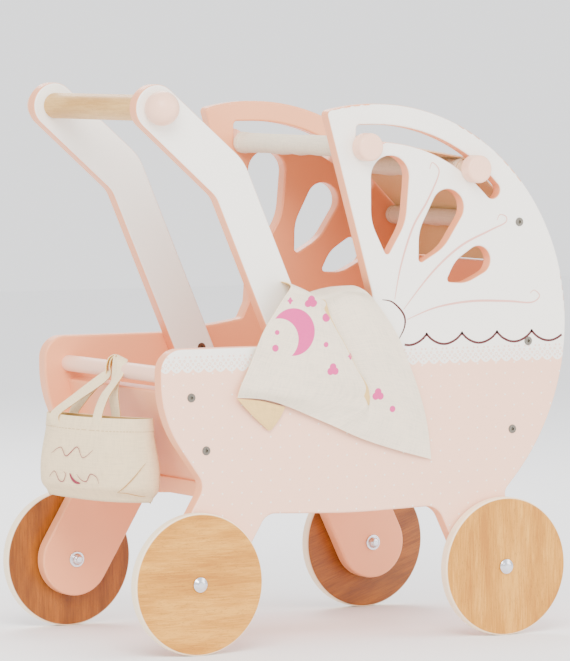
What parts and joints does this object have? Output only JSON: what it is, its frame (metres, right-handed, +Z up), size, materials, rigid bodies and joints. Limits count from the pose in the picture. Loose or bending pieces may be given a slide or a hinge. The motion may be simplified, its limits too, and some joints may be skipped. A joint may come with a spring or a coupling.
{
  "type": "doll stroller",
  "caption": "Wooden doll pram: cut-out side panels on disc wheels, cranked push handle, folding canvas hood on sliding bows, hanging bag and draped blanket.",
  "frame": {"origin": "on the floor, in the middle of the overall length and width", "axes": "+X towards the hood, +Y to the left of someone pushing, +Z up"},
  "size_m": [0.4844, 0.2988, 0.5421],
  "materials": {
    "pink_paint": "satin blush paint with small white dots",
    "white_paint": "satin white paint",
    "pale_pink_paint": "satin pale pink paint",
    "beech": "oiled beech",
    "cream_wood": "bare pale wood",
    "canvas": "natural cotton canvas",
    "bag_canvas": "natural cotton canvas",
    "printed_canvas": "printed cotton canvas",
    "chrome": "bright chrome",
    "screw_steel": "dark steel"
  },
  "bodies": {
    "frame": {"arm_screws_left": "screw_steel", "arm_screws_right": "screw_steel", "axle_bolt_front_left": "chrome", "axle_bolt_front_right": "chrome", "axle_bolt_rear_left": "chrome", "axle_bolt_rear_right": "chrome", "blanket": "printed_canvas", "canopy_middle_bay": "canvas", "canopy_rear_bay": "canvas", "canopy_rear_sleeve": "canvas", "cap_nut_front_left": "chrome", "cap_nut_front_right": "chrome", "cap_nut_rear_left": "chrome", "cap_nut_rear_right": "chrome", "fixed_hood_rod": "cream_wood", "floor_panel": "pink_paint", "handle_arm_left": "white_paint", "handle_arm_right": "white_paint", "handle_ball_left": "pale_pink_paint", "handle_ball_right": "pale_pink_paint", "handle_end_wall": "pink_paint", "handle_grip": "beech", "head_end_wall": "pink_paint", "panel_screws_left": "screw_steel", "panel_screws_right": "screw_steel", "rear_dowel": "pale_pink_paint", "side_panel_left": "pink_paint", "side_panel_right": "pink_paint", "washer_front_left": "chrome", "washer_front_right": "chrome", "washer_rear_left": "chrome", "washer_rear_right": "chrome"},
    "bag": {"bag": "bag_canvas", "bag_strap_left": "bag_canvas", "bag_strap_right": "bag_canvas"},
    "second_bow": {"canopy_front_bay": "canvas", "canopy_middle_sleeve": "canvas", "second_bow_knob_left": "pale_pink_paint", "second_bow_knob_right": "pale_pink_paint", "second_bow_rod": "cream_wood"},
    "front_bow": {"canopy_front_sleeve": "canvas", "front_bow_knob_left": "pale_pink_paint", "front_bow_knob_right": "pale_pink_paint", "front_bow_rod": "cream_wood"},
    "wheel_front_left": {"wheel_front_left": "beech"},
    "wheel_front_right": {"wheel_front_right": "beech"},
    "wheel_rear_left": {"wheel_rear_left": "beech"},
    "wheel_rear_right": {"wheel_rear_right": "beech"}
  },
  "joints": [
    {"name": "wheel_rear_left_spin", "type": "hinge", "parent": "frame", "child": "wheel_rear_left", "pos_m": [-0.17425, 0.13945, 0.068], "axis": [0, 1, 0], "continuous": true},
    {"name": "wheel_rear_right_spin", "type": "hinge", "parent": "frame", "child": "wheel_rear_right", "pos_m": [-0.17425, -0.13945, 0.068], "axis": [0, 1, 0], "continuous": true},
    {"name": "wheel_front_left_spin", "type": "hinge", "parent": "frame", "child": "wheel_front_left", "pos_m": [0.16575, 0.13945, 0.068], "axis": [0, 1, 0], "continuous": true},
    {"name": "wheel_front_right_spin", "type": "hinge", "parent": "frame", "child": "wheel_front_right", "pos_m": [0.16575, -0.13945, 0.068], "axis": [0, 1, 0], "continuous": true},
    {"name": "second_bow_slide", "type": "hinge", "parent": "frame", "child": "second_bow", "pos_m": [0.02575, 0, 0.312], "axis": [0, 1, 0], "range_deg": [0, 9], "deforming": ["canopy_middle_bay"]},
    {"name": "front_bow_fold", "type": "hinge", "parent": "second_bow", "child": "front_bow", "pos_m": [0.05175, 0, 0.424], "axis": [0, 1, 0], "range_deg": [0, 76], "deforming": ["canopy_front_bay"]},
    {"name": "bag_swing", "type": "hinge", "parent": "frame", "child": "bag", "pos_m": [-0.18225, 0, 0.264], "axis": [0, 1, 0], "range_deg": [0, 60]}
  ],
  "couplings": [
    {"joint": "second_bow_slide", "follows": "front_bow_fold", "ratio": 0.1184}
  ]
}
